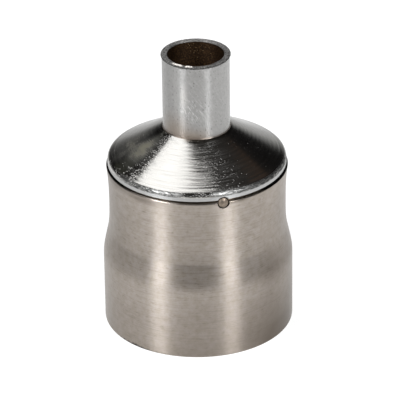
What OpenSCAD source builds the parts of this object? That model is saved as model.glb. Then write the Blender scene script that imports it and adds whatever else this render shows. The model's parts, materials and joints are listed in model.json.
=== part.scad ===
// Round hot air nozzle: a swaged sleeve that slides over a heater tube, a turned cone cap,
// a straight outlet tube seated in the cap and a domed pin that keys the cap to the sleeve.
// Millimetres, +Z along the nozzle's axis towards the outlet, origin at the centre of the
// sleeve's open end. The pin lies on the -Y side.

/* [Sleeve] */
// Outside diameter of the socket end
sleeve_od = 27; // [22:0.1:40]
// Wall of the sleeve at the socket and at the waist
sleeve_wall = 0.8; // [0.5:0.05:1]
// Height from the open end to the lip
sleeve_h = 24.1; // [20:0.1:40]
// Length of the straight socket
socket_h = 8.4; // [5:0.1:10]
// Length over which the sleeve narrows to its waist
swage_h = 9.1; // [4:0.1:10]
// How far the wall moves in from the socket to the waist
swage_in = 0.95; // [0.4:0.05:2]
// How far the wall flares out again from the waist to the lip
lip_flare = 0.3; // [0.1:0.05:0.6]
// Radius on the lip's outer edge
lip_round = 0.3; // [0.1:0.05:0.5]

/* [Cap] */
// How far the cap's rim lies inside the lip
rim_inset = 0.2; // [0:0.05:0.4]
// Height of the rim, from its underside to where it would meet the cone
rim_h = 1; // [0.8:0.05:3]
// Radius that blends the rim into the cone
rim_round = 0.75; // [0.3:0.05:1.2]
// Slope of the cone, in degrees from level
cone_angle = 30.8; // [26:0.2:36]
// Open groove between the rim and the sleeve's lip
seam_gap = 0.3; // [0.1:0.05:0.5]
// Width of the shoulder that seats on the sleeve's end
shoulder_w = 0.4; // [0.2:0.05:0.5]
// Length of the spigot inside the sleeve
spigot_h = 5; // [3:0.1:6]
// Wall of the spigot
spigot_wall = 1.5; // [1.2:0.1:2]
// Depth of the outlet tube's seat below the top of the cone
seat_depth = 2; // [1.5:0.1:3]
// Thickness of the ledge under the outlet tube
ledge_h = 0.5; // [0.4:0.1:1]
// Width of that ledge
ledge_w = 0.45; // [0.3:0.05:0.6]

/* [Outlet tube] */
// Bore of the outlet
outlet_d = 8; // [6:0.1:9]
// Wall of the outlet tube
tube_wall = 0.75; // [0.65:0.05:1]
// Height of the tube above the cone
tube_h = 11.05; // [6:0.05:20]
// Radius of the braze bead round the tube's foot
bead_r = 0.18; // [0.08:0.01:0.3]
// Spread of the burr that the cut left at the mouth
burr_w = 0.16; // [0.05:0.01:0.3]
// Height of that burr
burr_h = 0.7; // [0.3:0.05:1.5]

/* [Pin] */
// Diameter of the pin
pin_d = 1.5; // [1:0.05:1.8]
// Length of the pin, dome included
pin_len = 2; // [1.6:0.05:2.3]
// Height of the pin's dome
pin_dome = 0.4; // [0.2:0.05:0.6]
// How far the dome stands out of the rim
pin_out = 0.35; // [0.1:0.05:0.45]
// How far the pin's axis lies below the lip
pin_drop = 0.1; // [0:0.05:0.3]
// Ring of room round the pin where it comes to the surface
pin_sink = 0.12; // [0.05:0.01:0.2]
// Depth of that ring from the rim's face
pin_sink_h = 0.3; // [0.1:0.05:0.5]

/* [Fits] */
// Radial clearance of the pressed joints
press_fit = 0.01; // [0.005:0.005:0.03]
// Small break on the turned and sawn edges
edge_break = 0.12; // [0.05:0.01:0.2]

/* [Hidden] */
$fn = 96;

socket_r = sleeve_od / 2 - sleeve_wall;
waist_r = sleeve_od / 2 - swage_in;
waist_z = socket_h + swage_h;
lip_r = waist_r + lip_flare;
seat_r = waist_r - sleeve_wall;
spigot_r = seat_r - press_fit;
spigot_in_r = spigot_r - spigot_wall;

tube_r = outlet_d / 2 + tube_wall;
tube_seat_r = tube_r + press_fit;
ledge_r = tube_r - ledge_w;
rim_r = lip_r - rim_inset;
rim_z = sleeve_h + seam_gap;
corner_z = rim_z + rim_h;
cone_top_z = cone_z(tube_r);
land_z = cone_z(tube_r + bead_r);
tube_seat_z = cone_top_z - seat_depth;
ledge_z = tube_seat_z - ledge_h;
mouth_z = cone_top_z + tube_h;

pin_r = pin_d / 2;
pin_z = sleeve_h - pin_drop;
pin_tip_r = rim_r + pin_out;

// Height of the cone's face at a radius
function cone_z(r) = corner_z + (rim_r - r) * tan(cone_angle);

// Points of an arc about [r, z], angles from the radial direction towards +Z
function arc(r, z, radius, from, to, steps = 8) =
    [for (i = [0:steps]) let (a = from + (to - from) * i / steps) [r + radius * cos(a), z + radius * sin(a)]];

// Smooth step from 0 to 1, level at both ends
function ease(t) = t * t * (3 - 2 * t);

// The swage: an S-curve from one radius to another over the height between socket and waist
function swage(from_r, to_r, steps = 20) =
    [for (i = [0:steps]) [from_r + (to_r - from_r) * ease(i / steps), socket_h + swage_h * i / steps]];

// The flare: a cubic from the waist out to the lip
function flare(to_z, steps = 10) =
    [for (i = [1:steps]) let (t = i / steps)
        [waist_r + lip_flare * t * t * t, waist_z + (to_z - waist_z) * t]];

function reversed(points) = [for (i = [len(points) - 1:-1:0]) points[i]];

// The pin's way in: a hole along -Y with a wider ring at the surface, turned about its own
// axis so that its start line lies at the open lip
module pin_hole() {
    translate([0, 0, pin_z]) rotate([90, 0, 0]) rotate(90) {
        translate([0, 0, pin_tip_r - pin_len]) cylinder(r = pin_r + press_fit, h = pin_len + sleeve_wall);
        translate([0, 0, rim_r - pin_sink_h]) cylinder(r = pin_r + pin_sink, h = pin_len + sleeve_wall);
    }
}

module sleeve() {
    outside = concat(
        [[sleeve_od / 2 - edge_break, 0], [sleeve_od / 2, edge_break]],
        swage(sleeve_od / 2, waist_r),
        flare(sleeve_h - lip_round),
        arc(lip_r - lip_round, sleeve_h - lip_round, lip_round, 0, 90));
    inside = concat([[socket_r, 0]], swage(socket_r, seat_r), [[seat_r, sleeve_h]]);
    color([0.61, 0.58, 0.54]) difference() {
        rotate_extrude() polygon(concat(outside, reversed(inside)));
        pin_hole();
    }
}

module cone_cap() {
    blend = rim_round * tan((90 - cone_angle) / 2);
    outside = concat(
        [[spigot_r - edge_break, sleeve_h - spigot_h], [spigot_r, sleeve_h - spigot_h + edge_break]],
        [[spigot_r, sleeve_h], [seat_r + shoulder_w, sleeve_h], [seat_r + shoulder_w, rim_z], [rim_r, rim_z]],
        arc(rim_r - rim_round, corner_z - blend, rim_round, 0, 90 - cone_angle),
        [[tube_r + bead_r, land_z]]);
    inside = [
        [tube_seat_r, land_z],
        [tube_seat_r, tube_seat_z],
        [ledge_r, tube_seat_z],
        [ledge_r, ledge_z],
        [spigot_in_r, ledge_z - (spigot_in_r - ledge_r) * tan(cone_angle)],
        [spigot_in_r, sleeve_h - spigot_h]];
    color([0.75, 0.75, 0.74]) difference() {
        rotate_extrude() polygon(concat(outside, inside));
        pin_hole();
    }
}

module outlet_tube() {
    burr_r = tube_r + burr_w;
    color([0.66, 0.66, 0.65]) rotate_extrude() polygon(concat(
        [[outlet_d / 2, tube_seat_z], [tube_r, tube_seat_z], [tube_r, land_z]],
        arc(tube_r, land_z, bead_r, 0, 90, 5),
        [for (i = [0:8]) [tube_r + burr_w * ease(i / 8), mouth_z - burr_h + (burr_h - edge_break) * i / 8]],
        arc(burr_r - edge_break, mouth_z - edge_break, edge_break, 15, 90, 5),
        [[outlet_d / 2 + edge_break, mouth_z], [outlet_d / 2, mouth_z - edge_break]]));
}

module locating_pin() {
    dome_r = (pin_r * pin_r + pin_dome * pin_dome) / (2 * pin_dome);
    shank = pin_len - pin_dome;
    color([0.53, 0.48, 0.42]) translate([0, 0, pin_z]) rotate([90, 0, 0])
        translate([0, 0, pin_tip_r - pin_len]) rotate_extrude() polygon(concat(
            [[0, 0], [pin_r, 0]],
            arc(0, pin_len - dome_r, dome_r, asin((shank - pin_len + dome_r) / dome_r), 90)));
}

sleeve();
cone_cap();
outlet_tube();
locating_pin();
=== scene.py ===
import json
import math

import bmesh
import bpy
import numpy as np
from mathutils import Matrix, Vector


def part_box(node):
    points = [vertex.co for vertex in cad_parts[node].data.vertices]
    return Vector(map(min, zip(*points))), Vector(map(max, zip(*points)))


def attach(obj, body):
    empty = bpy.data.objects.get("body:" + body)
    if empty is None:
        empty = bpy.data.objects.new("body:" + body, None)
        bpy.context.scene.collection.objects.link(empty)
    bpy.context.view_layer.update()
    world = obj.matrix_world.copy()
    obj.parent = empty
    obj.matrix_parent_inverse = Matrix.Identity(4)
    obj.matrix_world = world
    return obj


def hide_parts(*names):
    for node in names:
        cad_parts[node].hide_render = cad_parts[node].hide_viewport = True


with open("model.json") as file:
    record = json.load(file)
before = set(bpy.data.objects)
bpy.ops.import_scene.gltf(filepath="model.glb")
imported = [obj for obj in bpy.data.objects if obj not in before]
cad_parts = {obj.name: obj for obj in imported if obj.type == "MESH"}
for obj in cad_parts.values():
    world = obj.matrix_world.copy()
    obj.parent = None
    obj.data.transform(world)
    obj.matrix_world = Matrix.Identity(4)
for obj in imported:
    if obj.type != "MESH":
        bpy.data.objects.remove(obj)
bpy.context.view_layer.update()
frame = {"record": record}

scene = bpy.context.scene
mm = 0.001

# Sockets of a Mix node by number: its share, its two values and its two colours
mixShare, valueA, valueB, colourA, colourB = 0, 2, 3, 6, 7


# sRGB hex to linear: a value over 0.04045 is ((v + 0.055) / 1.055) to the power 2.4
def toLinear(hexCode):
    value = np.array([int(hexCode[i:i + 2], 16) for i in (1, 3, 5)]) / 255
    linear = np.where(value <= 0.04045, value / 12.92, ((value + 0.055) / 1.055) ** 2.4)
    return (*linear.tolist(), 1.0)


# Inputs by name or number, or as a list in the sockets' order. A socket is linked, a node is linked
# by its first output that is in use, and anything else is set as a value.
def setInputs(tree, node, inputs):
    pairs = inputs.items() if isinstance(inputs, dict) else enumerate(inputs)
    for key, value in pairs:
        if isinstance(value, bpy.types.Node):
            value = next(output for output in value.outputs if output.enabled)
        if isinstance(value, bpy.types.NodeSocket):
            tree.links.new(value, node.inputs[key])
        else:
            node.inputs[key].default_value = value


# Adds one shader node: settings are its properties, inputs are as above
def addNode(tree, kind, inputs=(), **settings):
    node = tree.nodes.new("ShaderNode" + kind)
    for key, value in settings.items():
        setattr(node, key, value)
    setInputs(tree, node, inputs)
    return node


# A new material: gives it with its nodes, its shader and the Object coordinates
def startMaterial(name):
    material = bpy.data.materials.new(name)
    material.use_nodes = True
    tree = material.node_tree
    place = addNode(tree, "TexCoord").outputs["Object"]
    return material, tree, tree.nodes["Principled BSDF"], place


# Scale of a pattern whose size is given in mm: how many of it go into a metre
def scaleOf(sizeMm):
    return 1 / (sizeMm * mm)


# Smooth step: t squared times (3 - 2t), level at both ends
def ease(t):
    t = np.clip(t, 0, 1)
    return t * t * (3 - 2 * t)


# Straight ramp: 0 up to a start, then (value - start) / length, and 1 from there on
def ramp(value, start, length):
    return np.clip((value - start) / length, 0, 1)


# Arc about a centre in the (radius, height) plane: centre + round * (cos a, sin a)
def arc(centreR, centreZ, roundR, fromDeg, toDeg, count):
    a = np.radians(np.linspace(fromDeg, toDeg, count))
    return np.stack([centreR + roundR * np.cos(a), centreZ + roundR * np.sin(a)], 1)


# Straight run of points between two corners, both included
def run(start, end, count):
    t = np.linspace(0, 1, count)[:, None]
    return np.array(start) * (1 - t) + np.array(end) * t


# Angles round the axis from the pin's side (-Y), closer together near the pin, seam at the back
def ringAngles(coarseDeg, fineDeg, halfDeg):
    count = int((180 - halfDeg) / coarseDeg)
    left = np.linspace(-180, -halfDeg, count, endpoint=False)
    near = np.linspace(-halfDeg, halfDeg, int(2 * halfDeg / fineDeg), endpoint=False)
    right = np.linspace(halfDeg, 180, count, endpoint=False)
    return np.radians(np.concatenate([left, near, right]))


# Turns a profile of (radius, height) rows about Z: x = r sin a, y = -r cos a, z = height
def turned(profile, angles):
    r, z = profile[:, 0][:, None], profile[:, 1][:, None]
    return np.stack([r * np.sin(angles), -r * np.cos(angles), z + 0 * angles], -1)


# Distance along a profile: the running sum of the lengths of its steps
def alongProfile(profile):
    return np.concatenate([[0], np.cumsum(np.linalg.norm(np.diff(profile, axis=0), axis=1))])


# A mark on a turned face: 1 at an angle and height, easing to 0 at a reach in degrees and mm
def markAt(angles, height, atDeg, atZ, reachDeg, reachZ):
    turn = (np.degrees(angles)[None, :] - atDeg + 180) % 360 - 180
    return ease(1 - np.hypot(turn / reachDeg, (height[:, None] - atZ) / reachZ))


# Sum of marks, each times its own share
def marksAt(angles, height, spots):
    return sum(share * markAt(angles, height, *spot) for share, spot in spots)


# A value that changes round the ring: straight lines between the degrees that are listed
def roundRing(angles, atDeg, values):
    return np.interp(np.degrees(angles), atDeg, values)


# Shades a mesh smooth, but for edges sharper than an angle, and puts it into the scene
def placePiece(name, mesh, sharpDeg):
    mesh.polygons.foreach_set("use_smooth", np.ones(len(mesh.polygons), bool))
    mesh.set_sharp_from_angle(angle=math.radians(sharpDeg))
    mesh.update()
    piece = bpy.data.objects.new(name, mesh)
    scene.collection.objects.link(piece)
    return piece


# Makes a mesh of a grid of points (rows closed into a loop, columns closed into a ring),
# with a UV map whose U runs along the profile and V round the ring, and named values that
# are spread over the grid
def gridPiece(name, points, rowLength, ringAngle, values, sharpDeg=32):
    rows, cols = points.shape[:2]
    index = np.arange(rows * cols).reshape(rows, cols)
    up, side = np.roll(index, -1, 0), np.roll(index, -1, 1)
    quads = np.stack([index, side, np.roll(up, -1, 1), up], -1).reshape(-1, 4)
    mesh = bpy.data.meshes.new(name)
    mesh.from_pydata((points.reshape(-1, 3) * mm).tolist(), [], quads.tolist())
    total = rowLength[-1] + np.linalg.norm(points[0, 0] - points[-1, 0])
    u = np.append(rowLength, total)
    v = np.append(ringAngle, ringAngle[0] + 2 * math.pi)
    corner = np.zeros((rows, cols, 4, 2))
    corner[..., 0, 0] = corner[..., 1, 0] = u[:-1, None]
    corner[..., 2, 0] = corner[..., 3, 0] = u[1:, None]
    corner[..., 0, 1] = corner[..., 3, 1] = v[None, :-1]
    corner[..., 1, 1] = corner[..., 2, 1] = v[None, 1:]
    layer = mesh.uv_layers.new(name="alongAround")
    layer.data.foreach_set("uv", (corner * [1 / total, 1 / (2 * math.pi)]).ravel())
    for key, value in values.items():
        spread = np.broadcast_to(value, (rows, cols)).astype(np.float32)
        mesh.attributes.new(key, "FLOAT", "POINT").data.foreach_set("value", spread.ravel())
    return placePiece(name, mesh, sharpDeg)


def dressNode(piece, node, material):
    piece.data.materials.append(material)
    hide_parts(node)
    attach(piece, "root")


# Camera: fitted to the outline of the nozzle, angles in degrees, lengths in mm
view = {"azimuth": -16.5, "elevation": 27.953, "roll": 0.726, "away": 496.34, "lens": 315.0, "sensor": 36.0,
        "nearest": 10.0, "aimHeight": 21.0, "aimRight": 0.3565, "aimUp": -2.635}


# Unit vector at an azimuth from the camera's own and an elevation
def fromCamera(azimuth, elevation):
    a, e = math.radians(view["azimuth"] + azimuth), math.radians(elevation)
    return Vector((math.sin(a) * math.cos(e), -math.cos(a) * math.cos(e), math.sin(e)))


back = fromCamera(0, view["elevation"])
right = fromCamera(90, 0)
above = back.cross(right)
aim = Vector((0, 0, view["aimHeight"])) + right * view["aimRight"] + above * view["aimUp"]
axes = Matrix((right, above, back)).transposed().to_4x4()
camera = bpy.data.objects.new("camera", bpy.data.cameras.new("camera"))
camera.data.lens = view["lens"]
camera.data.sensor_width = view["sensor"]
camera.data.clip_start = view["nearest"] * mm
camera.matrix_world = (Matrix.Translation((aim + back * view["away"]) * mm) @ axes
                       @ Matrix.Rotation(-math.radians(view["roll"]), 4, "Z"))
scene.collection.objects.link(camera)
scene.camera = camera
print("camera set")

# Sizes that the pieces share, in mm, from the frame's boxes and the bores' mounts
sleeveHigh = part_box("sleeve")[1] / mm
tubeLow, tubeHigh = (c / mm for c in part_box("outlet_tube"))
pinLow, pinHigh = (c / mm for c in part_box("locating_pin"))
mounts = {m["name"]: m for m in frame["record"]["mounts"]}
socketR = mounts["heater_socket"]["dims"]["r_mm"]
boreR = mounts["air_outlet"]["dims"]["r_mm"]
sleeveR, sleeveH = sleeveHigh.x, sleeveHigh.z
pinR = (pinHigh.x - pinLow.x) / 2
pinZ = (pinHigh.z + pinLow.z) / 2
pinTip = -pinLow.y

# Ring of room round the pin, cut in the sleeve's lip and the cap's rim
pinSeat = {"room": 0.1, "floorR": 12.35}


# Points nearer the pin's axis than the ring, and outside its floor, drop to that floor
def cutPinSeat(points):
    x, y, z = points[..., 0], points[..., 1], points[..., 2]
    inRing = np.hypot(x, z - pinZ) < pinR + pinSeat["room"]
    floorY = -np.sqrt(np.maximum(pinSeat["floorR"] ** 2 - x ** 2, 0))
    points[..., 1] = np.where(inRing & (y < floorY), floorY, y)
    return points


# In the materials a size in mm with several numbers is drawn out: along the brushing or the rings
# it is longer than across. A span is the range of a pattern that is used, and what it becomes.

# Stainless tube brushed round and round on a belt: a warm satin grey whose grooves smear
# light up and down the wall but keep it narrow sideways
def brushedSteel():
    look = {"pink": "#aea59e", "olive": "#a39a8f", "line": "#7d756c", "tint": "#6e655c", "stain": "#8d7c6a",
            "soot": "#1c1815", "anisotropy": 0.9, "groove": 0.0005, "lineMm": (3.5, 3.5, 0.13),
            "dashMm": (0.9, 0.9, 0.14), "mottleMm": 0.9, "mottleRough": 0.65, "grimeMm": 0.5,
            "toneSpan": (0.35, 0.65), "lineSpan": (0.5, 0.7, 0.0, 0.3), "dashSpan": (0.58, 0.72, 0.0, 0.5),
            "darkSpan": (0.6, 0.4), "sootSpan": (0.75, 1.1), "roughSpan": (0.7, 1.3, 0.35, 0.31)}
    material, tree, shader, place = startMaterial("stainlessSteelBrushed")
    marks = {key: addNode(tree, "Attribute", attribute_name=key).outputs["Fac"]
             for key in ("tint", "inside", "soot")}
    maps = {key: addNode(tree, "Mapping", {
        "Vector": place, "Scale": [scaleOf(size) for size in look[key]]}) for key in ("lineMm", "dashMm")}
    # brush lines really are about 0.03 mm apart, drawn coarser so that they show
    lines = addNode(tree, "TexNoise", {"Vector": maps["lineMm"], "Scale": 1.0, "Detail": 2.0})
    mottle = addNode(tree, "TexNoise", {"Vector": place, "Scale": scaleOf(look["mottleMm"]), "Detail": 5.0,
                                        "Roughness": look["mottleRough"]})
    tone = addNode(tree, "MapRange", (mottle, *look["toneSpan"]))
    lineTone = addNode(tree, "MapRange", (lines, *look["lineSpan"]))
    # dashes: short deeper scratches, where the mottle is dark
    dash = addNode(tree, "TexNoise", {"Vector": maps["dashMm"], "Scale": 1.0, "Detail": 1.0})
    crest = addNode(tree, "MapRange", (dash, *look["dashSpan"]))
    where = addNode(tree, "MapRange", (mottle, *look["darkSpan"]))
    dashTone = addNode(tree, "Math", (crest, where, lineTone), operation="MULTIPLY_ADD")
    # patchy soot and painted shade on the lip by the seam
    grime = addNode(tree, "TexNoise", {"Vector": place, "Scale": scaleOf(look["grimeMm"]), "Detail": 3.0})
    patchy = addNode(tree, "Math", (marks["soot"], grime), operation="ADD")
    sootAndShadeShare = addNode(tree, "MapRange", (patchy, *look["sootSpan"]))
    # colours laid over one another, each by its share: tint is painted shade, soot is soot with painted
    # shade
    colour = toLinear(look["olive"])
    for share, over in ((tone, "pink"), (dashTone, "line"), (marks["tint"], "tint"),
                        (marks["inside"], "stain"), (sootAndShadeShare, "soot")):
        colour = addNode(tree, "Mix", {
            mixShare: share, colourA: colour, colourB: toLinear(look[over])}, data_type="RGBA")
    both = addNode(tree, "Math", (lines, mottle), operation="ADD")
    rough = addNode(tree, "MapRange", (both, *look["roughSpan"]))
    bump = addNode(tree, "Bump", {"Height": lines, "Distance": look["groove"] * mm, "Strength": 1.0})
    tangent = addNode(tree, "Tangent", direction_type="UV_MAP", uv_map="alongAround")
    setInputs(tree, shader, {"Base Color": colour, "Metallic": 1.0, "Roughness": rough, "Normal": bump,
                             "Tangent": tangent, "Anisotropic": look["anisotropy"]})
    return material


# Steel turned on a lathe and nickel-chromium plated: nearly a mirror, with the tool's rings
# that break up the edge of every reflection, and a salt of small spatter and pits on it
def platedCone(alongMm, aroundMm):
    look = {"light": "#d8d7d4", "dark": "#a9a7a3", "rim": "#b4b4b3", "haze": "#b5b09c", "stain": "#655a4d",
            "salt": "#f2eee8", "pit": "#1d1a18", "wornGrey": "#4f4f4e", "satinRough": 0.36,
            "wornRough": 0.62, "dotRough": 0.5, "hazeMetal": 0.7, "anisotropy": 0.5, "ringMm": (0.26, 5.0),
            "ringMiddle": 0.5, "ringHigh": 0.0058, "feedMm": 0.64, "feedHigh": 0.0016, "feedDrift": 5.0,
            "patchMm": 1.6, "dotMm": (0.11, 0.24), "darkDots": 0.12, "faintDot": 0.22, "wornMm": (0.2, 0.5),
            "mirrorSpan": (0.4, 0.7, 0.13, 0.27), "dotSpan": (0.0, 1.6, 0.14, 0.44),
            "clumpSpan": (0.35, 0.65, 0.2, 1.0), "hazeSpan": (0.4, 0.6, 0.5, 1.0),
            "wornSpan": (0.35, 0.6, 0.6, 1.2)}
    material, tree, shader, place = startMaterial("steelTurnedPlated")
    marks = {key: addNode(tree, "Attribute", attribute_name=key).outputs["Fac"]
             for key in ("ringShare", "speck", "dustTone", "haze", "satin", "inside", "worn")}
    around = addNode(tree, "UVMap", uv_map="alongAround")
    maps = {key: addNode(tree, "Mapping", {"Vector": around, "Scale": (
        alongMm / look[key][0], aroundMm / look[key][1], 1)}) for key in ("ringMm", "dotMm", "wornMm")}
    patch = addNode(tree, "TexNoise", {"Vector": place, "Scale": scaleOf(look["patchMm"]), "Detail": 2.0})
    # fine tool rings, drawn coarser than real ones so that they show, and the wave that the tool's
    # feed leaves, heights in mm
    rings = addNode(tree, "TexNoise", {"Vector": maps["ringMm"], "Scale": 1.0, "Detail": 2.0},
                    noise_dimensions="2D")
    ringPart = addNode(tree, "Math", (rings, look["ringMiddle"]), operation="SUBTRACT")
    ringTone = addNode(tree, "Math", (ringPart, marks["ringShare"], look["ringMiddle"]),
                       operation="MULTIPLY_ADD")
    along = addNode(tree, "SeparateXYZ", (around,))
    drift = addNode(tree, "Math", (patch, look["feedDrift"]), operation="MULTIPLY")
    turns = addNode(tree, "Math", (along, 2 * math.pi * alongMm / look["feedMm"], drift),
                    operation="MULTIPLY_ADD")
    feed = addNode(tree, "Math", (turns,), operation="SINE")
    feedH = addNode(tree, "Math", (feed, look["feedHigh"]), operation="MULTIPLY")
    height = addNode(tree, "Math", (ringTone, look["ringHigh"], feedH), operation="MULTIPLY_ADD")
    bump = addNode(tree, "Bump", {"Height": height, "Distance": mm, "Strength": 1.0})
    # haze: a patchy film
    hazePatch = addNode(tree, "MapRange", (patch, *look["hazeSpan"]))
    haze = addNode(tree, "Math", (marks["haze"], hazePatch), operation="MULTIPLY")
    # dots: the middle of a share of small cells, drawn out along the rings, in clumps clear of the haze,
    # from faint to strong, a few of them dark
    cells = addNode(tree, "TexVoronoi", {"Vector": maps["dotMm"], "Scale": 1.0}, voronoi_dimensions="2D")
    draw = addNode(tree, "SeparateColor", (cells.outputs["Color"],)).outputs
    size = addNode(tree, "Math", (draw[0], marks["speck"]), operation="ADD")
    reach = addNode(tree, "MapRange", (size, *look["dotSpan"]))
    core = addNode(tree, "Math", (cells.outputs["Distance"], reach), operation="LESS_THAN")
    clump = addNode(tree, "MapRange", (patch, *look["clumpSpan"]))
    share = addNode(tree, "Math", (marks["speck"], clump), operation="MULTIPLY")
    clearShare = addNode(tree, "Math", (share, haze), operation="SUBTRACT")
    chosen = addNode(tree, "Math", (draw[2], clearShare), operation="LESS_THAN")
    dotPlace = addNode(tree, "Math", (core, chosen), operation="MULTIPLY")
    strength = addNode(tree, "MapRange", (draw[1], look["darkDots"], 1.0, look["faintDot"]))
    dotTone = addNode(tree, "Math", (strength, marks["dustTone"]), operation="MULTIPLY")
    dot = addNode(tree, "Math", (dotPlace, dotTone), operation="MULTIPLY")
    white = addNode(tree, "Math", (draw[1], look["darkDots"]), operation="GREATER_THAN")
    dotColour = addNode(tree, "Mix", {
        mixShare: white, colourA: toLinear(look["pit"]), colourB: toLinear(look["salt"])}, data_type="RGBA")
    # the plating of the edge is worn through in dashes: a noise drawn out along the rings; their dark grey
    # is painted shade that dims the reflections on the edge's round
    grain = addNode(tree, "TexNoise", {"Vector": maps["wornMm"], "Scale": 1.0, "Detail": 2.0},
                    noise_dimensions="2D")
    grainShare = addNode(tree, "MapRange", (grain, *look["wornSpan"]))
    worn = addNode(tree, "Math", (marks["worn"], grainShare), operation="MULTIPLY", use_clamp=True)
    # roughness and colours laid over one another, each by its share
    dull = addNode(tree, "Math", (marks["satin"], haze), operation="MAXIMUM")
    rough = addNode(tree, "MapRange", (ringTone, *look["mirrorSpan"]))
    for share, over in ((dull, "satinRough"), (worn, "wornRough"), (dot, "dotRough")):
        rough = addNode(tree, "Mix", {mixShare: share, valueA: rough, valueB: look[over]})
    # the inside mark's stain colour also paints shade in a ring round the tube's foot
    colour = toLinear(look["dark"])
    for share, over in ((ringTone, toLinear(look["light"])), (haze, toLinear(look["haze"])),
                        (marks["satin"], toLinear(look["rim"])), (marks["inside"], toLinear(look["stain"])),
                        (worn, toLinear(look["wornGrey"])), (dot, dotColour)):
        colour = addNode(tree, "Mix", {mixShare: share, colourA: colour, colourB: over}, data_type="RGBA")
    plateMetal = addNode(tree, "MapRange", (haze, 0.0, 1.0, 1.0, look["hazeMetal"]))
    metal = addNode(tree, "Math", (plateMetal, dot), operation="SUBTRACT", use_clamp=True)
    tangent = addNode(tree, "Tangent", direction_type="UV_MAP", uv_map="alongAround")
    setInputs(tree, shader, {"Base Color": colour, "Metallic": metal, "Roughness": rough, "Normal": bump,
                             "Tangent": tangent, "Anisotropic": look["anisotropy"]})
    return material


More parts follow.
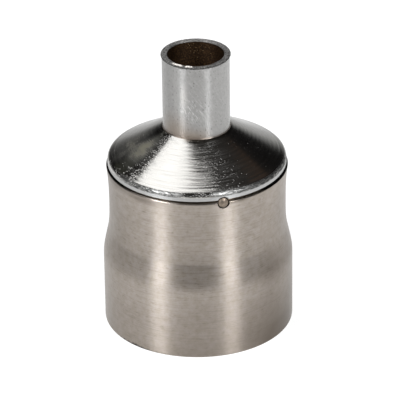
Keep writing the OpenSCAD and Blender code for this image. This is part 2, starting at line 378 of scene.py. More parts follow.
# Drawn steel tube with satin plating: a neutral grey with two soft bright bands, small dark
# pits, a few rubbed scratches, tan heat marks and painted shade at the foot; the bore is burnt brown
def platedTube():
    look = {"light": "#a4a3a1", "dark": "#9b9a98", "burnt": "#281a0e", "char": "#523c24",
            "spark": "#94805f", "tan": "#85705a", "scorch": "#3a342f", "pit": "#5a5855",
            "scratch": "#d9d8d6", "braze": "#c9beb5", "bare": "#efe9e2", "sawLight": "#a5a3a0",
            "sawDark": "#2c2a28", "anisotropy": 0.8, "boreMetal": 0.85, "boreRough": 0.85,
            "mottleMm": 0.45, "pitMm": 0.4, "grainMm": 0.2, "sparkMm": 0.15, "sparkReach": 0.36,
            "sawMm": 0.2, "scratchMm": (1.6, 0.16, 0.16), "scratchTurn": (0.0, math.radians(55), 0.0),
            "toneSpan": (0.35, 0.65), "pitSpan": (0.5, 1.0), "pitEdge": (0.1, 0.36, 0.8, 0.0),
            "crestSpan": (0.54, 0.66), "grainSpan": (0.45, 0.75), "gritSpan": (0.3, 0.7),
            "metalSpan": (0.0, 1.0, 0.6, 0.35), "roughSpan": (0.0, 1.0, 0.27, 0.6)}
    material, tree, shader, place = startMaterial("steelTubePlated")
    marks = {key: addNode(tree, "Attribute", attribute_name=key).outputs["Fac"]
             for key in ("rubbed", "braze", "heatTint", "scorch", "bare", "spark", "inside", "sawn",
                         "sawTone")}
    # mottle of the plating, grain of the burnt bore and grit of the sawn mouth
    mottle, grain, grit = (addNode(tree, "TexNoise", {
        "Vector": place, "Scale": scaleOf(look[key]), "Detail": detail})
        for key, detail in (("mottleMm", 4.0), ("grainMm", 2.0), ("sawMm", 1.0)))
    tone = addNode(tree, "MapRange", (mottle, *look["toneSpan"]))
    # pits: the middle of a few cells
    pits = addNode(tree, "TexVoronoi", {"Vector": place, "Scale": scaleOf(look["pitMm"])}).outputs
    draw = addNode(tree, "SeparateColor", (pits["Color"],))
    chosen = addNode(tree, "MapRange", (draw, *look["pitSpan"]))
    core = addNode(tree, "MapRange", (pits["Distance"], *look["pitEdge"]))
    pitShare = addNode(tree, "Math", (chosen, core), operation="MULTIPLY")
    # scratches: the crests of a noise drawn out along one slant, where the tube was rubbed
    scratchMap = addNode(tree, "Mapping", {"Vector": place, "Rotation": look["scratchTurn"],
                                           "Scale": [size * mm for size in look["scratchMm"]]},
                         vector_type="TEXTURE")
    scratch = addNode(tree, "TexNoise", {"Vector": scratchMap, "Scale": 1.0, "Detail": 1.0})
    crest = addNode(tree, "MapRange", (scratch, *look["crestSpan"]))
    scratchShare = addNode(tree, "Math", (crest, marks["rubbed"]), operation="MULTIPLY")
    # sparks: the middle of a few small cells on the far side of the bore
    sparks = addNode(tree, "TexVoronoi", {"Vector": place, "Scale": scaleOf(look["sparkMm"])}).outputs
    sparkDraw = addNode(tree, "SeparateColor", (sparks["Color"],))
    sparkChosen = addNode(tree, "Math", (sparkDraw, marks["spark"]), operation="LESS_THAN")
    sparkCore = addNode(tree, "Math", (sparks["Distance"], look["sparkReach"]), operation="LESS_THAN")
    sparkShare = addNode(tree, "Math", (sparkChosen, sparkCore), operation="MULTIPLY")
    grainTone = addNode(tree, "MapRange", (grain, *look["grainSpan"]))
    gritPart = addNode(tree, "MapRange", (grit, *look["gritSpan"]))
    gritTone = addNode(tree, "Math", (gritPart, marks["sawTone"]), operation="MULTIPLY")
    # colours laid over one another, each by its share: the burnt bore, the sawn mouth and the plating
    layers = {"burnt": ((grainTone, "char"), (sparkShare, "spark")),
              "sawDark": ((gritTone, "sawLight"),),
              "dark": ((tone, "light"), (pitShare, "pit"), (scratchShare, "scratch"),
                       (marks["braze"], "braze"), (marks["heatTint"], "tan"), (marks["scorch"], "scorch"),
                       (marks["bare"], "bare"))}
    done = {}
    for base, overs in layers.items():
        done[base] = toLinear(look[base])
        for share, over in overs:
            done[base] = addNode(tree, "Mix", {
                mixShare: share, colourA: done[base], colourB: toLinear(look[over])}, data_type="RGBA")
    colour = done["dark"]
    for mark, over in (("inside", "burnt"), ("sawn", "sawDark")):
        colour = addNode(tree, "Mix", {mixShare: marks[mark], colourA: colour, colourB: done[over]},
                         data_type="RGBA")
    # the satin plating scatters part of the light, braze and the sawn mouth more; the bore is dull
    dull = addNode(tree, "Math", (marks["braze"], marks["sawn"]), operation="MAXIMUM")
    metal, rough = (addNode(tree, "Mix", {
        mixShare: marks["inside"], valueB: look[bore],
        valueA: addNode(tree, "MapRange", (dull, *look[plate]))})
        for plate, bore in (("metalSpan", "boreMetal"), ("roughSpan", "boreRough")))
    tangent = addNode(tree, "Tangent", direction_type="UV_MAP", uv_map="alongAround")
    setInputs(tree, shader, {"Base Color": colour, "Metallic": metal, "Roughness": rough,
                             "Tangent": tangent, "Anisotropic": look["anisotropy"]})
    return material


# Hardened pin, heat-tinted: brown-grey with a soft spot of light on the dome, and painted shade round its
# edge
def tintedPin():
    look = {"light": "#9f9285", "dark": "#6a5e52", "grime": "#3b3128", "rough": 0.46, "mottleMm": 0.35,
            "cleanR": 0.92}
    material, tree, shader, place = startMaterial("steelPinHeatTinted")
    mottle = addNode(tree, "TexNoise", {"Vector": place, "Scale": scaleOf(look["mottleMm"]), "Detail": 3.0})
    # painted shade round the dome's edge, where it sits in its seat: the share grows with distance from the
    # pin's axis
    offset = addNode(tree, "VectorMath", (place, (0, 0, pinZ * mm)), operation="SUBTRACT")
    across = addNode(tree, "VectorMath", (offset, (1, 0, 1)), operation="MULTIPLY")
    fromAxis = addNode(tree, "VectorMath", (across,), operation="LENGTH")
    edge = addNode(tree, "MapRange", (fromAxis, look["cleanR"] * pinR * mm, pinR * mm))
    colour = toLinear(look["dark"])
    for share, over in ((mottle, "light"), (edge, "grime")):
        colour = addNode(tree, "Mix", {
            mixShare: share, colourA: colour, colourB: toLinear(look[over])}, data_type="RGBA")
    setInputs(tree, shader, {"Base Color": colour, "Metallic": 1.0, "Roughness": look["rough"]})
    return material


# In the shapes a value that changes round the ring is two rows, degrees and values, and a spot is
# its share, then degrees, height, reach in degrees and reach in mm

# Sleeve: socket, an S-curve in to the waist, a cubic flare to a rounded lip, and the wall inside
sleeveShape = {
    "socketH": 8.4, "swageH": 9.1, "swageIn": 0.95, "flare": 0.3, "lipRound": 0.15,
    "swageSteep": (9.7, 11.8, 14.2, 14.7), "swageTail": 0.45, "edge": 0.12, "boreEdge": 0.05,
    "seatEdge": 0.03, "swageRows": 64, "swageSteps": 2001, "footRows": (0.3, 1.2), "wallFrom": 2.0,
    "rowGap": 0.4, "neckGap": 0.2, "closeFrom": 0.8, "flareRows": (14, 26), "coarseDeg": 1.2,
    "fineDeg": 0.22, "halfDeg": 7,
    "sootH": ((-180, -110, -90, -76, -50, -2, 2, 18, 28, 45, 75, 100, 180),
              (0.1, 0.06, 0.05, 0.03, 0.0, 0.0, 0.02, 0.02, 0.02, 0.1, 0.2, 0.14, 0.1)),
    "sootSoft": 0.1, "sootFull": 0.05, "sootFromR": 12, "footSoot": ((0.8, (-58, -0.2, 32, 1.0)),),
    "tintH": 10.0, "tintMost": 0.52,
    "tintSpots": ((0.4, (42, 3.0, 55, 10.0)), (0.4, (40, 11.3, 38, 3.6)), (0.6, (-82, 23.8, 34, 1.1)),
                  (0.45, (64, 12.0, 30, 15.0)), (0.25, (-80, 15.0, 26, 16.0)), (0.2, (-8, 7.2, 32, 4.0)),
                  (-0.2, (-50, 2.0, 34, 4.0)), (0.3, (45, 0.5, 30, 3.5)), (0.8, (9, 24.0, 12, 0.6)),
                  (0.6, (-53, 23.5, 18, 0.8)), (0.24, (35, 11.5, 17, 12.0)), (0.2, (5, 11.0, 12, 5.0)),
                  (0.2, (48, 19.0, 14, 7.0)), (0.12, (25, 7.0, 14, 3.0))),
    "rise": ((-180, -150, -105, -55, -25, 180), (0, 0, 0.07, 0.07, 0, 0)), "riseH": 1.5}
waistR = sleeveR - sleeveShape["swageIn"]
waistZ = sleeveShape["socketH"] + sleeveShape["swageH"]
wall = sleeveR - socketR
lipR = waistR + sleeveShape["flare"]
neckR = waistR - wall


# The swage's fall in radius, 0 to 1: the running sum of a slope that rises slowly, holds,
# drops at a crease and fades out to the waist
def swageFall(z):
    rise, hold, crease, past = sleeveShape["swageSteep"]
    fine = np.linspace(sleeveShape["socketH"], waistZ, sleeveShape["swageSteps"])
    tail = sleeveShape["swageTail"] * (1 - ease((fine - past) / (waistZ - past)))
    drop = 1 - (1 - tail) * ease((fine - crease) / (past - crease))
    steep = ease((fine - rise) / (hold - rise)) * np.where(fine < crease, 1, drop)
    total = np.concatenate([[0], np.cumsum((steep[1:] + steep[:-1]) / 2)])
    return np.interp(z, fine, total / total[-1])


def makeSleeve():
    s = sleeveShape
    swageZ = np.linspace(s["socketH"], waistZ, s["swageRows"])
    fall = s["swageIn"] * swageFall(swageZ)
    lowRows, closeRows = s["flareRows"]   # rows lie closer together by the pin
    flareT = np.concatenate([np.linspace(0, s["closeFrom"], lowRows)[1:],
                             np.linspace(s["closeFrom"], 1, closeRows)[1:]])
    flareTop = sleeveH - s["lipRound"]
    wallTop = s["socketH"] - s["rowGap"]
    outside = np.concatenate([
        arc(sleeveR - s["edge"], s["edge"], s["edge"], -80, 0, 5),
        run((sleeveR, s["footRows"][0]), (sleeveR, s["footRows"][1]), 4),
        run((sleeveR, s["wallFrom"]), (sleeveR, wallTop), 5),
        np.stack([sleeveR - fall, swageZ], 1),
        np.stack([waistR + s["flare"] * flareT ** 3, waistZ + (flareTop - waistZ) * flareT], 1),
        arc(lipR - s["lipRound"], flareTop, s["lipRound"], 5, 90, 12)])
    inside = np.concatenate([
        run((pinSeat["floorR"], sleeveH), (neckR + s["seatEdge"], sleeveH), 4),
        run((neckR, sleeveH - s["seatEdge"]), (neckR, waistZ + s["neckGap"]), 8),
        np.stack([socketR - fall, swageZ], 1)[::-1],
        run((socketR, wallTop), (socketR, s["boreEdge"]), 6),
        [(socketR + s["boreEdge"], 0.0)]])
    profile = np.concatenate([outside, inside])
    within = np.repeat([0.0, 1.0], [len(outside), len(inside)])
    angles = ringAngles(s["coarseDeg"], s["fineDeg"], s["halfDeg"])
    points = cutPinSeat(turned(profile, angles))
    height = profile[:, 1]
    # uneven lip: its top stands a little higher over a part of the ring, easing out below
    risen = ease((height - (sleeveH - s["riseH"])) / s["riseH"])[:, None]
    points[..., 2] += risen * roundRing(angles, *s["rise"])
    # soot and painted shade reach down from the lip by a height that changes round the ring, and a darker
    # line marks the foot
    sootH = roundRing(angles, *s["sootH"])
    soot = ease((height[:, None] - (sleeveH - sootH)) / s["sootSoft"] + 0.5)
    soot = soot * np.clip(sootH / s["sootFull"], 0, 1) * (profile[:, :1] > s["sootFromR"])
    soot = np.maximum(soot, marksAt(angles, height, s["footSoot"]))
    # painted shade: the colour darkens towards the open end, where the floor beside it lies in the nozzle's
    # shadow, and spots of painted shade dim the floor's reflection and the highlights; one spot paints it
    # lighter
    tint = s["tintMost"] * ease(1 - height / s["tintH"])[:, None] + marksAt(angles, height, s["tintSpots"])
    return gridPiece("brushedSleeve", points, alongProfile(profile), angles,
                     {"inside": within[:, None], "soot": soot, "tint": tint})


sleeve = makeSleeve()
dressNode(sleeve, "sleeve", brushedSteel())
print("sleeve made,", len(sleeve.data.polygons), "faces")

# Cap: rim, a round that blends into the cone, the land round the tube, and the inside.
# The shares of satin and stain are those of its four parts: underside, rim, cone and inside.
capShape = {
    "rimZ": 24.4, "rimR": 12.65, "rimH": 1.0, "round": 0.75, "slopeDeg": 30.8, "shoulderR": 12.15,
    "spigotH": 5.0, "spigotWall": 1.5, "spigotEdge": 0.12, "spigotRow": 0.4, "fit": 0.01, "beadR": 0.1,
    "tubeWall": 0.75, "seatDeep": 2.0, "ledgeH": 0.5, "ledgeR": 4.3, "ledgeEdge": 0.02, "edge": 0.06,
    "rimGaps": (0.12, 0.05), "coneRows": 60, "coarseDeg": 1.0, "fineDeg": 0.22, "halfDeg": 7,
    "hollow": 0.12, "ridgeR": 11.55, "ridgeW": 0.12, "ridgeH": 0.02, "grooveR": 11.6, "grooveW": 0.5,
    "grooveDeep": 0.013, "filletW": 0.8, "filletH": 0.015, "middleR": 9,
    "satin": (0.6, 1.0, 0.0, 0.6), "stain": (0.6, 0.0, 0.0, 1.0),
    "hazeSpots": ((0.95, (-82, 28.0, 18, 2.0)), (0.6, (-102, 27.4, 22, 2.4))),
    "speckSpots": ((0.22, (-74, 26.8, 32, 8.0)), (0.75, (-65, 28.2, 14, 6.5)), (0.36, (0, 26.6, 28, 5.8))),
    "speckLeast": 0.02,
    "dustTone": ((-180, -110, -38, -20, 40, 70, 180), (0.4, 0.7, 0.9, 0.48, 0.45, 0.3, 0.4)),
    "wornShare": ((-180, -85, -70, -57, -50, -44, -38, -32, -24, -9, -4, 3, 8, 62, 80, 180),
                  (0, 0, 0.6, 0.95, 0.9, 0.72, 0.75, 0.85, 0, 0, 0.65, 0.65, 0.8, 0.85, 0, 0)),
    "footW": 0.6, "footShare": ((-180, -40, -32, 30, 60, 180), (0, 0.05, 0.9, 0.9, 0.3, 0)),
    "ringShare": ((-180, -110, -70, -8, 12, 35, 120, 180), (0.5, 0.6, 1, 1, 0.65, 0.35, 0.3, 0.5)),
    "edgeShare": ((-180, -95, -60, -40, -32, -6, -3, 5, 8, 18, 30, 75, 180),
                  (0.2, 0.5, 0.5, 0.15, 0.7, 0.7, 0.1, 0.1, 0.6, 0.5, 0.25, 0.25, 0.2))}
tubeR = boreR + capShape["tubeWall"]
slope = math.tan(math.radians(capShape["slopeDeg"]))
cornerZ = capShape["rimZ"] + capShape["rimH"]


# Height of the cone's face: falls by tan(slope) for each mm of radius
def coneZ(r):
    return cornerZ + (capShape["rimR"] - r) * slope


# A little hollow between two radii: the slope changes as (middle / radius - 1), so the face drops by
# hollow * (middle * log(radius / first) - (radius - first)), which is 0 at both ends
def hollowZ(r, first, last):
    middle = (last - first) / math.log(last / first)
    return -capShape["hollow"] * (middle * np.log(r / first) - (r - first))


def makeCap():
    c = capShape
    spigotR = neckR - c["fit"]
    spigotInR = spigotR - c["spigotWall"]
    spigotZ = sleeveH - c["spigotH"]
    roundZ = cornerZ - c["round"] * math.tan(math.radians((90 - c["slopeDeg"]) / 2))
    landR = tubeR + c["beadR"]
    seatR = tubeR + c["fit"]
    seatZ = coneZ(tubeR) - c["seatDeep"]
    ledgeZ = seatZ - c["ledgeH"]
    blend = arc(c["rimR"] - c["round"], roundZ, c["round"], 0, 90 - c["slopeDeg"], 14)
    under = np.concatenate([
        [(spigotR - c["spigotEdge"], spigotZ), (spigotR, spigotZ + c["spigotEdge"])],
        run((spigotR, sleeveH - c["spigotRow"]), (spigotR, sleeveH), 3),
        [(c["shoulderR"], sleeveH), (c["shoulderR"], c["rimZ"])]])
    rim = np.concatenate([
        arc(c["rimR"] - c["edge"], c["rimZ"] + c["edge"], c["edge"], -90, 0, 5),
        run((c["rimR"], c["rimZ"] + c["rimGaps"][0]), (c["rimR"], roundZ - c["rimGaps"][1]), 8)])
    # the cone's face is a little hollow, with a faint raised ring, a shallow groove by the edge and a
    # film of braze that ran out from the tube's foot
    coneR = np.linspace(blend[-1, 0], landR, c["coneRows"])[1:]
    ridge = c["ridgeH"] * ease(1 - np.abs(coneR - c["ridgeR"]) / c["ridgeW"])
    groove = c["grooveDeep"] * ease(1 - np.abs(coneR - c["grooveR"]) / c["grooveW"])
    fillet = c["filletH"] * ease(1 - (coneR - landR) / c["filletW"])
    coneFace = coneZ(coneR) + hollowZ(coneR, landR, blend[-1, 0]) + ridge - groove + fillet
    cone = np.concatenate([blend, np.stack([coneR, coneFace], 1)])
    hidden = np.concatenate([
        [(seatR, coneZ(landR)), (seatR, seatZ), (c["ledgeR"], seatZ), (c["ledgeR"], ledgeZ)],
        run((c["ledgeR"] + c["ledgeEdge"], ledgeZ - c["ledgeEdge"] * slope),
            (spigotInR, ledgeZ - (spigotInR - c["ledgeR"]) * slope), 12),
        [(spigotInR, spigotZ)]])
    profile = np.concatenate([under, rim, cone, hidden])
    counts = [len(under), len(rim), len(cone), len(hidden)]
    satin, within, onCone = (np.repeat(parts, counts)[:, None]
                             for parts in (c["satin"], c["stain"], (0, 0, 1, 0)))
    angles = ringAngles(c["coarseDeg"], c["fineDeg"], c["halfDeg"])
    points = cutPinSeat(turned(profile, angles))
    # haze and dots: marks on the cone, and shares of dots and of wear with painted shade that change along
    # its edge
    height = profile[:, 1]
    onRound = onCone * (profile[:, :1] > blend[-1, 0])
    haze = onCone * marksAt(angles, height, c["hazeSpots"])
    speck = c["speckLeast"] + marksAt(angles, height, c["speckSpots"])
    speck = onCone * np.maximum(speck, onRound * roundRing(angles, *c["edgeShare"]))
    worn = onRound * roundRing(angles, *c["wornShare"])
    # painted shade: a narrow ring of the stain colour on the cone round the tube's foot, mostly at the
    # front
    foot = onCone * ease(1 - (profile[:, :1] - landR) / c["footW"])
    stain = np.maximum(within, foot * roundRing(angles, *c["footShare"]))
    # the tool's rings are polished down in places
    values = {"satin": satin, "worn": worn, "inside": stain, "haze": haze, "speck": speck,
              "dustTone": roundRing(angles, *c["dustTone"]),
              "ringShare": roundRing(angles, *c["ringShare"])}
    length = alongProfile(profile)
    return gridPiece("coneCap", points, length, angles, values), length[-1]


cap, capLength = makeCap()
dressNode(cap, "cone_cap", platedCone(capLength, 2 * math.pi * capShape["middleR"]))
print("cap made,", len(cap.data.polygons), "faces")

# Outlet tube: straight wall, braze bead at the foot, and a burr turned out at the mouth.
# The shares of burn and braze are those of its five parts: foot, wall, mouth, lip and bore.
tubeShape = {
    "burrW": 0.14, "burrH": 0.32, "edge": 0.12, "wallGaps": (0.25, 0.15), "mouthGaps": (0.06, 0.04),
    "stepDeg": 0.6, "ragged": 0.055, "raggedZ": 0.1, "raggedAt": (-18, 75), "raggedLeast": 0.2,
    "raggedH": 0.5, "raggedW": 0.3, "waves": (5, 110), "seed": 7, "mouthH": 0.2, "burrRows": 12,
    "burnt": (0, 0, 0, 0.3, 1), "braze": (1, 0, 0, 0, 0),
    "bareSpots": ((-52, 15), (-28.5, 8.5)), "bareSharp": 2.5, "bareUp": (0.2, 0.28), "bareDown": (0.5, 0.3),
    "bareRise": 0.12, "bareEdge": 4, "wornSpots": ((0.2, (-38, 36.4, 10, 3.0)),),
    "burntUp": (0.5, 0.25), "burntShare": ((-180, -80, -60, 15, 40, 180), (0, 0, 1, 1, 0, 0)),
    "sawH": 0.17, "sawShare": ((-180, -75, -55, 25, 60, 180), (1, 1, 0.6, 0.6, 0.9, 1)),
    "rimDark": (0.1, 0.3), "sparkSpots": ((0.17, (163, 39.6, 45, 1.9)),),
    "scorchH": 0.38, "scorchShare": ((-180, -95, -62, -52, -38, -30, -11, -5, 7, 14, 60, 180),
                                     (0.8, 0.95, 0.9, 0.35, 0.35, 0.8, 0.75, 0.0, 0.0, 0.9, 0.9, 0.8)),
    "heatSpots": ((0.6, (-58, 30.0, 50, 5.0)), (0.62, (-16, 29.9, 36, 2.5))),
    "dimSpots": ((0.16, (-66, 36.0, 26, 16.0)),),
    "rubLeast": 0.1, "rubSpots": ((0.7, (-24, 34.5, 30, 2.4)),)}


# Sum of cosines round the ring, with seeded sizes and phases
def ringWave(angles, waves, rng):
    count = np.arange(*waves)
    phase = rng.uniform(0, 2 * math.pi, len(count))
    size = rng.normal(0, 1, len(count)) / np.sqrt(len(count))
    return (size[:, None] * np.cos(count[:, None] * angles + phase[:, None])).sum(0)


def makeTube():
    s = tubeShape
    landZ = coneZ(tubeR + capShape["beadR"])
    mouthZ = tubeHigh.z
    burrR = tubeR + s["burrW"]
    t = np.linspace(0, 1, s["burrRows"])
    foot = np.concatenate([[(tubeR, tubeLow.z), (tubeR, landZ)],
                           arc(tubeR, landZ, capShape["beadR"], 0, 90, 7)])
    outside = np.concatenate([
        run((tubeR, landZ + s["wallGaps"][0]), (tubeR, mouthZ - s["burrH"] - s["wallGaps"][1]), 24),
        np.stack([tubeR + s["burrW"] * ease(t), mouthZ - s["burrH"] + (s["burrH"] - s["edge"]) * t], 1),
        arc(burrR - s["edge"], mouthZ - s["edge"], s["edge"], 15, 90, 7)])
    outerGap, innerGap = s["mouthGaps"]
    mouth = run((burrR - s["edge"] - outerGap, mouthZ), (boreR + s["edge"] + innerGap, mouthZ), 13)
    lip = arc(boreR + s["edge"], mouthZ - s["edge"], s["edge"], 90, 170, 5)
    bore = run((boreR, mouthZ - s["edge"] - innerGap), (boreR, tubeLow.z), 24)
    profile = np.concatenate([foot, outside, mouth, lip, bore])
    counts = [len(foot), len(outside), len(mouth), len(lip), len(bore)]
    height = profile[:, 1]
    within, braze = (np.repeat(s[key], counts)[:, None] for key in ("burnt", "braze"))
    angles = np.radians(np.arange(-180, 180, s["stepDeg"]))
    points = turned(profile, angles)
    # ragged burr: a sum of cosines moves the mouth's outer edge in and out, another up and down
    rng = np.random.default_rng(s["seed"])
    near = ease((height - (mouthZ - s["raggedH"])) / s["raggedH"])
    near = near * ease((profile[:, 0] - tubeR + s["raggedW"]) / s["raggedW"])
    atDeg, reachDeg = s["raggedAt"]
    front = markAt(angles, 0 * height, atDeg, 0, reachDeg, 1)
    near = near[:, None] * (s["raggedLeast"] + (1 - s["raggedLeast"]) * front)
    shift = s["ragged"] * near * ringWave(angles, s["waves"], rng)
    points[..., 0] += shift * np.sin(angles)
    points[..., 1] -= shift * np.cos(angles)
    points[..., 2] -= s["raggedZ"] * near * np.abs(ringWave(angles, s["waves"], rng))
    # bare spots: the inner half of the mouth's face rises to a bright burr there
    spots = sum(markAt(angles, 0 * height, deg, 0, reach, 1) for deg, reach in s["bareSpots"])
    spots = ease(s["bareSharp"] * spots)
    onMouth = (height > mouthZ - s["mouthH"])[:, None]
    inwards = np.clip((burrR - profile[:, 0]) / (burrR - boreR), 0, 1)[:, None] * onMouth
    rising = ramp(inwards, *s["bareUp"]) * spots
    falling = ramp(inwards, *s["bareDown"]) * spots
    points[..., 2] += s["bareRise"] * (rising - falling)
    bare = np.maximum(ease(rising * s["bareEdge"]) * (1 - ease(falling * s["bareEdge"])),
                      marksAt(angles, height, s["wornSpots"]) * (1 - within))
    # the inner half of the mouth's face is burnt at the front, and painted shade darkens the outer edge all
    # round
    burntLip = ease(ramp(inwards, *s["burntUp"])) * roundRing(angles, *s["burntShare"])
    within = np.maximum(within, burntLip)
    sawn = (height > mouthZ - s["sawH"])[:, None] * (1 - bare) * (1 - within)
    rimTo, rimTone = s["rimDark"]
    sawTone = roundRing(angles, *s["sawShare"]) * np.where(inwards > rimTo, 1, rimTone)
    # heat marks: tan spots; scorch with painted shade that fades out up from the foot, and painted shade on
    # a dimmer side
    scorch = ease(1 - (height - landZ) / s["scorchH"])[:, None] * (1 - within)
    scorch = scorch * roundRing(angles, *s["scorchShare"])
    scorch = scorch + marksAt(angles, height, s["dimSpots"]) * (1 - within)
    values = {"inside": within, "sawn": sawn, "braze": braze, "scorch": scorch, "bare": bare,
              "sawTone": sawTone, "heatTint": marksAt(angles, height, s["heatSpots"]),
              "rubbed": s["rubLeast"] + marksAt(angles, height, s["rubSpots"]),
              "spark": marksAt(angles, height, s["sparkSpots"]) * within}
    return gridPiece("outletTube", points, alongProfile(profile), angles, values)


tube = makeTube()
dressNode(tube, "outlet_tube", platedTube())
print("tube made,", len(tube.data.polygons), "faces")

# Pin: a short round bar along -Y with a domed end
pinShape = {"dome": 0.4, "headR": 0.82, "edge": 0.06, "shankGaps": (0.3, 0.15), "underHead": (0.02, 0.08),
            "stepDeg": 6.0, "sharpDeg": 40, "mergeMm": 0.0001}


# The profile (distance from the axis, distance along -Y) turned about the pin's own axis
def makePin():
    p = pinShape
    domeR = (p["headR"] ** 2 + p["dome"] ** 2) / (2 * p["dome"])
    span = math.degrees(math.asin(p["headR"] / domeR))
    inner, headZ = -pinHigh.y, pinTip - p["dome"]
    profile = np.concatenate([
        [(0.0, inner), (pinR - p["edge"], inner), (pinR, inner + p["edge"])],
        run((pinR, inner + p["shankGaps"][0]), (pinR, headZ - p["shankGaps"][1]), 6),
        [(p["headR"] - p["underHead"][0], headZ - p["underHead"][1])],
        arc(0, pinTip - domeR, domeR, 90 - span, 90, 12)])
    angles = np.radians(np.arange(0, 360, p["stepDeg"]))
    rho, along = profile[:, 0][:, None], profile[:, 1][:, None]
    points = np.stack([rho * np.cos(angles), -along + 0 * angles, pinZ + rho * np.sin(angles)], -1)
    rows, cols = points.shape[:2]
    index = np.arange(rows * cols).reshape(rows, cols)
    side = np.roll(index, -1, 1)
    quads = np.stack([index[:-1], side[:-1], side[1:], index[1:]], -1).reshape(-1, 4)
    mesh = bpy.data.meshes.new("locatingPin")
    mesh.from_pydata((points.reshape(-1, 3) * mm).tolist(), [], quads.tolist())
    soft = bmesh.new()
    soft.from_mesh(mesh)
    bmesh.ops.remove_doubles(soft, verts=soft.verts, dist=p["mergeMm"] * mm)   # closes both poles
    bmesh.ops.recalc_face_normals(soft, faces=soft.faces)
    soft.to_mesh(mesh)
    soft.free()
    return placePiece("locatingPinDomed", mesh, p["sharpDeg"])


pin = makePin()
dressNode(pin, "locating_pin", tintedPin())
print("pin made,", len(pin.data.polygons), "faces")


# Opal acrylic table lit from beneath: a plain pale floor, evenly white wherever it is seen,
# while the light that it throws on the nozzle dims to the front and far behind
def opalTable():
    look = {"white": "#959594", "grey": "#7b746c", "glow": 0.86, "rough": 0.22, "fadeFrom": -100.0,
            "fadeTo": -68.0, "fadeLeast": 0.2, "farDeg": -148, "farFrom": -10.0, "farTo": 175.0,
            "farShare": 0.36}
    material, tree, shader, place = startMaterial("acrylicOpalLit")
    behind, away = (addNode(tree, "VectorMath", (place, way), operation="DOT_PRODUCT")
                    for way in (-fromCamera(0, 0), fromCamera(look["farDeg"], 0)))
    fade = addNode(tree, "MapRange", (
        behind, look["fadeFrom"] * mm, look["fadeTo"] * mm, look["fadeLeast"]),
        interpolation_type="SMOOTHSTEP")
    far = addNode(tree, "MapRange", (
        away, look["farFrom"] * mm, look["farTo"] * mm, look["glow"], look["glow"] * look["farShare"]),
        interpolation_type="SMOOTHSTEP")
    colour = addNode(tree, "Mix", {mixShare: fade, colourA: toLinear(look["grey"]),
                                   colourB: toLinear(look["white"])}, data_type="RGBA")
    thrown = addNode(tree, "Math", (fade, far), operation="MULTIPLY")
    seen = addNode(tree, "LightPath").outputs["Is Camera Ray"]
    glow = addNode(tree, "Mix", {mixShare: seen, valueA: thrown, valueB: look["glow"]})
    setInputs(tree, shader, {"Base Color": colour, "Roughness": look["rough"],
                             "Emission Color": toLinear("#ffffff"), "Emission Strength": glow})
    return material


# Floor: a square, half its side in metres, just under the nozzle's foot
floorHalf, floorZ = 1.5, -1e-5
floorCorners = [(x * floorHalf, y * floorHalf, floorZ) for x, y in ((-1, -1), (1, -1), (1, 1), (-1, 1))]
floorMesh = bpy.data.meshes.new("floor")
floorMesh.from_pydata(floorCorners, [], [(0, 1, 2, 3)])
floorMesh.materials.append(opalTable())
floor = bpy.data.objects.new("floor", floorMesh)
scene.collection.objects.link(floor)

# Soft boxes: azimuth from the camera and elevation in degrees, width and height in metres, glow is
# the brightness that a mirror would show
softBoxes = {
    "left": {"angles": (-49, 34), "size": (0.30, 0.5), "glow": 17.5, "tint": "#fafcff"},
    "right": {"angles": (41, 34), "size": (0.28, 0.5), "glow": 17.5, "tint": "#fafcff"},
    "leftWall": {"angles": (-142, 34), "size": (0.3, 0.22), "glow": 0.06, "tint": "#c9cdb8"},
    "rightWall": {"angles": (140, 50), "size": (0.3, 0.25), "glow": 0.06, "tint": "#c79a78"},
}
softBoxAway, softBoxAim = 1.0, Vector((0, 0, 0.02))   # metres from the point that they face


# A rectangular lamp: its energy is its glow times pi times its area
def makeLamp(name, wide, high, glow, tint, place):
    lamp = bpy.data.lights.new(name, "AREA")
    lamp.shape = "RECTANGLE"
    lamp.size, lamp.size_y = wide, high
    lamp.color = toLinear(tint)[:3]
    lamp.energy = glow * math.pi * wide * high
    box = bpy.data.objects.new(name, lamp)
    box.matrix_world = place
    scene.collection.objects.link(box)


for name, s in softBoxes.items():
    direction = fromCamera(*s["angles"])
    makeLamp(name, *s["size"], s["glow"], s["tint"],
             Matrix.Translation(direction * softBoxAway + softBoxAim)
             @ direction.to_track_quat("Z", "Y").to_matrix().to_4x4())

# Ceiling panel, level and facing down: where its front edge passes the zenith, and its size, in metres
panel = {"height": 1.0, "edgeRight": -0.083, "edgeAway": 0.018, "turn": 26.0, "leftRun": 0.52,
         "rightRun": 0.28, "deep": 0.655, "glow": 1.9, "tint": "#ffffff"}


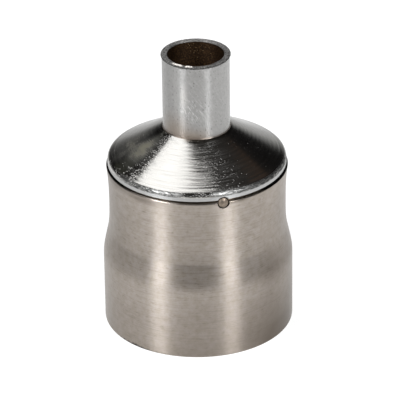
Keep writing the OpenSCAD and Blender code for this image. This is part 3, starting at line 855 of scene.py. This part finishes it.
def makePanel():
    along = fromCamera(90 + panel["turn"], 0)
    across = Vector((-along.y, along.x, 0))
    edge = fromCamera(90, 0) * panel["edgeRight"] - fromCamera(0, 0) * panel["edgeAway"]
    centre = edge + along * (panel["rightRun"] - panel["leftRun"]) / 2 + across * panel["deep"] / 2
    makeLamp("panel", panel["leftRun"] + panel["rightRun"], panel["deep"], panel["glow"], panel["tint"],
             Matrix.Translation(centre + Vector((0, 0, panel["height"])))
             @ Matrix((along, across, along.cross(across))).transposed().to_4x4())


makePanel()

# Studio walls: pale and low behind the nozzle, less so at the left, dark overhead and behind the camera.
# A span gives a direction's part upwards, away from the camera or to its right, and what it becomes.
walls = {"dark": "#151414", "ceiling": "#343230", "pale": "#c4c4c3", "lowSpan": (-0.05, 0.3, 1.0, 0.0),
         "farSpan": (-0.1, 0.5), "sideSpan": (-0.45, -0.1, 0.2), "highSpan": (0.5, 0.97)}


def makeWalls():
    world = bpy.data.worlds.new("studioWalls")
    scene.world = world
    world.use_nodes = True
    tree = world.node_tree
    direction = addNode(tree, "TexCoord").outputs["Generated"]
    upwards = addNode(tree, "SeparateXYZ", (direction,)).outputs[2]
    behind, sideways = (addNode(tree, "VectorMath", (direction, way), operation="DOT_PRODUCT")
                        for way in (-fromCamera(0, 0), fromCamera(90, 0)))
    low, far, side, high = (addNode(tree, "MapRange", (part, *walls[key]),
                                    interpolation_type="SMOOTHSTEP")
                            for part, key in ((upwards, "lowSpan"), (behind, "farSpan"),
                                              (sideways, "sideSpan"), (upwards, "highSpan")))
    lowFar = addNode(tree, "Math", (low, far), operation="MULTIPLY")
    paleShare = addNode(tree, "Math", (lowFar, side), operation="MULTIPLY")
    colour = toLinear(walls["dark"])
    for share, over in ((high, "ceiling"), (paleShare, "pale")):
        colour = addNode(tree, "Mix", {
            mixShare: share, colourA: colour, colourB: toLinear(walls[over])}, data_type="RGBA")
    setInputs(tree, tree.nodes["Background"], {"Color": colour})


makeWalls()
scene.view_settings.view_transform = "Standard"
print("studio lit")
